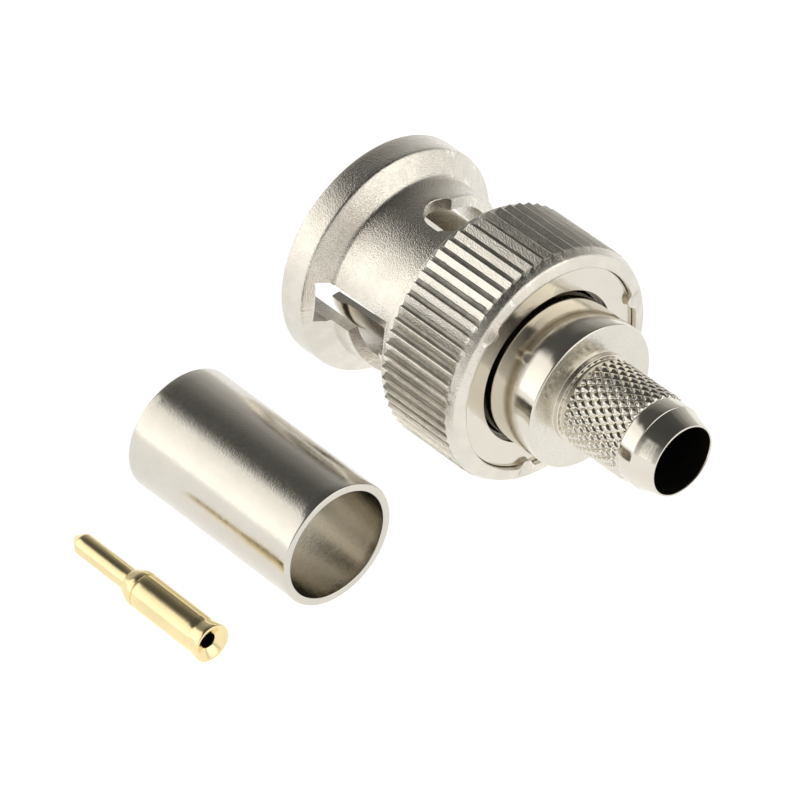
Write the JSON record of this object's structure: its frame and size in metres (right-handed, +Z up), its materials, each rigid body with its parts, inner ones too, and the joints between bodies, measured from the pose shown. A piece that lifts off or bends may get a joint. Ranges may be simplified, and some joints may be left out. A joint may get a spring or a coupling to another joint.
{
  "type": "bnc connector",
  "caption": "Crimp cable plug with a ribbed bayonet coupling nut, spring finger contact and knurled crimp spigot, with its loose centre contact and crimp ferrule lying beside it.",
  "frame": {"origin": "on the plug's axis, in the plane of the coupling nut's front face", "axes": "+X along the plug's axis towards the cable end, +Z up as it lies, -Y towards the ferrule and the centre contact"},
  "size_m": [0.0248, 0.0323, 0.0144],
  "materials": {
    "cast_nickel": "nickel plate over a finely grained die casting, satin",
    "bright_nickel": "bright nickel plate over turned brass",
    "satin_nickel": "satin nickel plate over drawn copper tube",
    "gold": "gold plate over turned brass, glossy",
    "steel": "plain spring steel",
    "insulator_white": "white fluoroplastic",
    "gasket_rubber": "silicone rubber"
  },
  "bodies": {
    "plug": {"plug_body": "bright_nickel", "outer_contact": "bright_nickel", "insulator": "insulator_white", "gasket": "gasket_rubber", "wave_washer": "steel", "centre_contact": "gold", "crimp_ferrule": "satin_nickel"},
    "spring_seat": {"thrust_washer": "steel"},
    "nut": {"coupling_nut": "cast_nickel", "back_washer": "bright_nickel"}
  },
  "joints": [
    {"name": "nut_travel", "type": "slide", "parent": "plug", "child": "spring_seat", "axis": [-1, 0, 0], "range_m": [0, 0.00075], "stiffness_N_per_m": 12000, "springref_m": -0.0002, "deforming": ["wave_washer"]},
    {"name": "nut_spin", "type": "hinge", "parent": "spring_seat", "child": "nut", "pos_m": [0, 0, 0], "axis": [1, 0, 0], "continuous": true}
  ]
}
